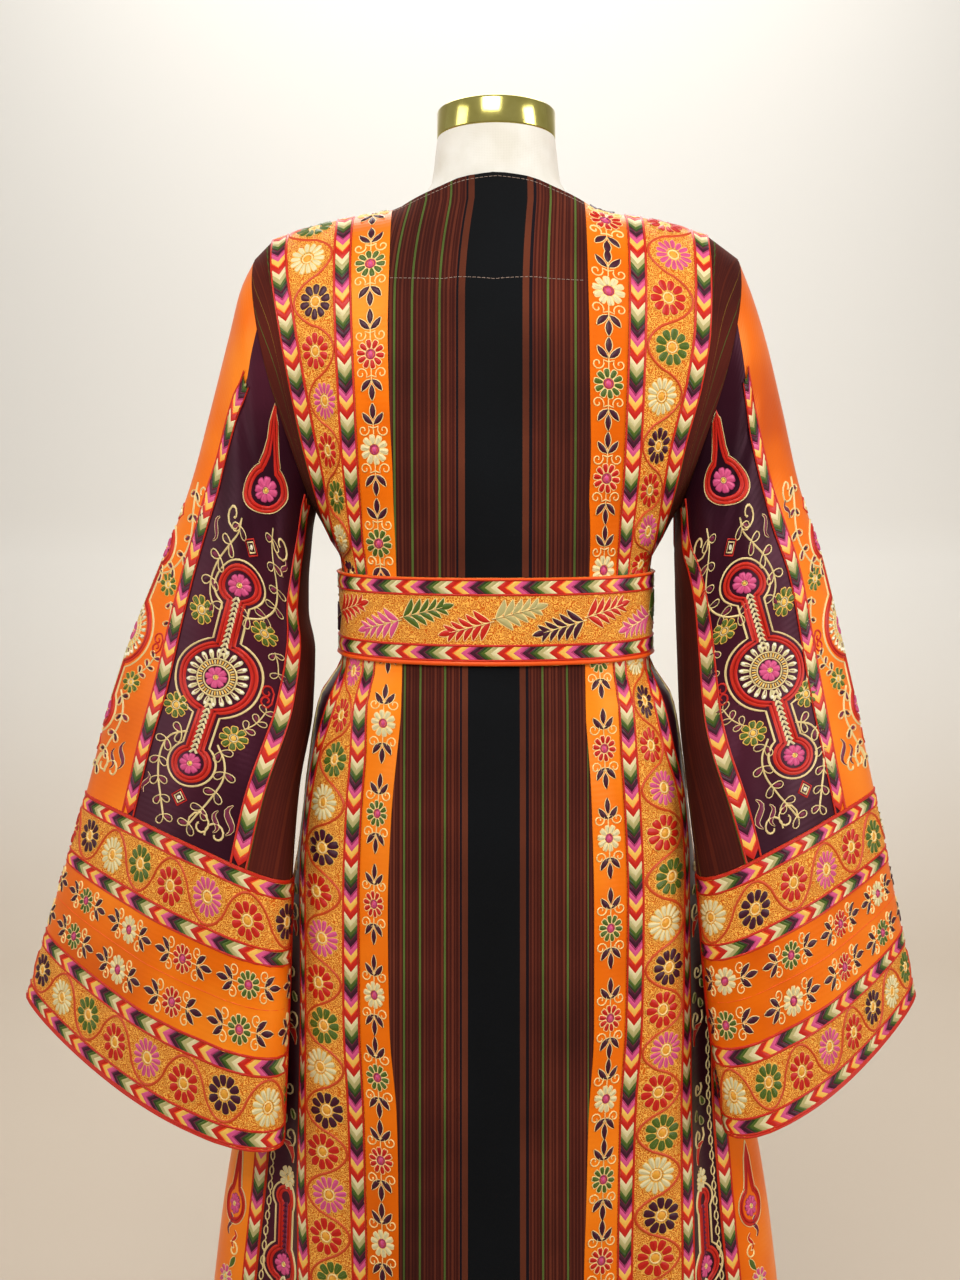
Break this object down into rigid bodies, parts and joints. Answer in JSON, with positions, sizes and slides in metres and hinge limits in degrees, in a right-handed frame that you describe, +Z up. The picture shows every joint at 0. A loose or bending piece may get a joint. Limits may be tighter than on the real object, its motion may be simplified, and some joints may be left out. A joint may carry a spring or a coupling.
{
  "type": "embroidered thobe dress on a limbless dress form with its own stand",
  "caption": "Full-length embroidered thobe dress with wide bell sleeves, banded cuffs and a belt, worn by a limbless dress form on a round-footed pole stand.",
  "frame": {"origin": "on the floor, at the centre of the stand's round underside", "axes": "+Z up along the pole and the dress form; the dress's back faces -Y, its front +Y, and +X is to the right as its back is seen"},
  "size_m": [0.8758, 0.4747, 1.51],
  "materials": {
    "linen": "plain woven linen over a stiff shell",
    "gold_cap": "polished",
    "stand_metal": "satin grey",
    "striped_cloth": "striped woven cloth",
    "orange_satin": "satin with couched embroidery",
    "aubergine_satin": "satin with couched embroidery",
    "embroidered_band": "dense couched embroidery"
  },
  "bodies": {
    "root": {"form_torso": "linen", "form_neck_cap": "gold_cap", "form_stand": "stand_metal", "belt": "embroidered_band", "back_panel": "striped_cloth", "front_panel": "striped_cloth", "back_flower_band_left": "orange_satin", "back_flower_band_right": "orange_satin", "front_flower_band_left": "orange_satin", "front_flower_band_right": "orange_satin", "back_daisy_band_left": "embroidered_band", "back_daisy_band_right": "embroidered_band", "front_daisy_band_left": "embroidered_band", "front_daisy_band_right": "embroidered_band", "side_panel_left": "striped_cloth", "side_panel_right": "striped_cloth", "aubergine_gore_left": "aubergine_satin", "aubergine_gore_right": "aubergine_satin", "orange_gore_left": "orange_satin", "orange_gore_right": "orange_satin", "sleeve_top_left": "orange_satin", "sleeve_back_left": "aubergine_satin", "sleeve_under_left": "striped_cloth", "sleeve_front_left": "aubergine_satin", "sleeve_top_right": "orange_satin", "sleeve_back_right": "aubergine_satin", "sleeve_under_right": "striped_cloth", "sleeve_front_right": "aubergine_satin", "cuff_left": "embroidered_band", "cuff_right": "embroidered_band"}
  },
  "joints": []
}
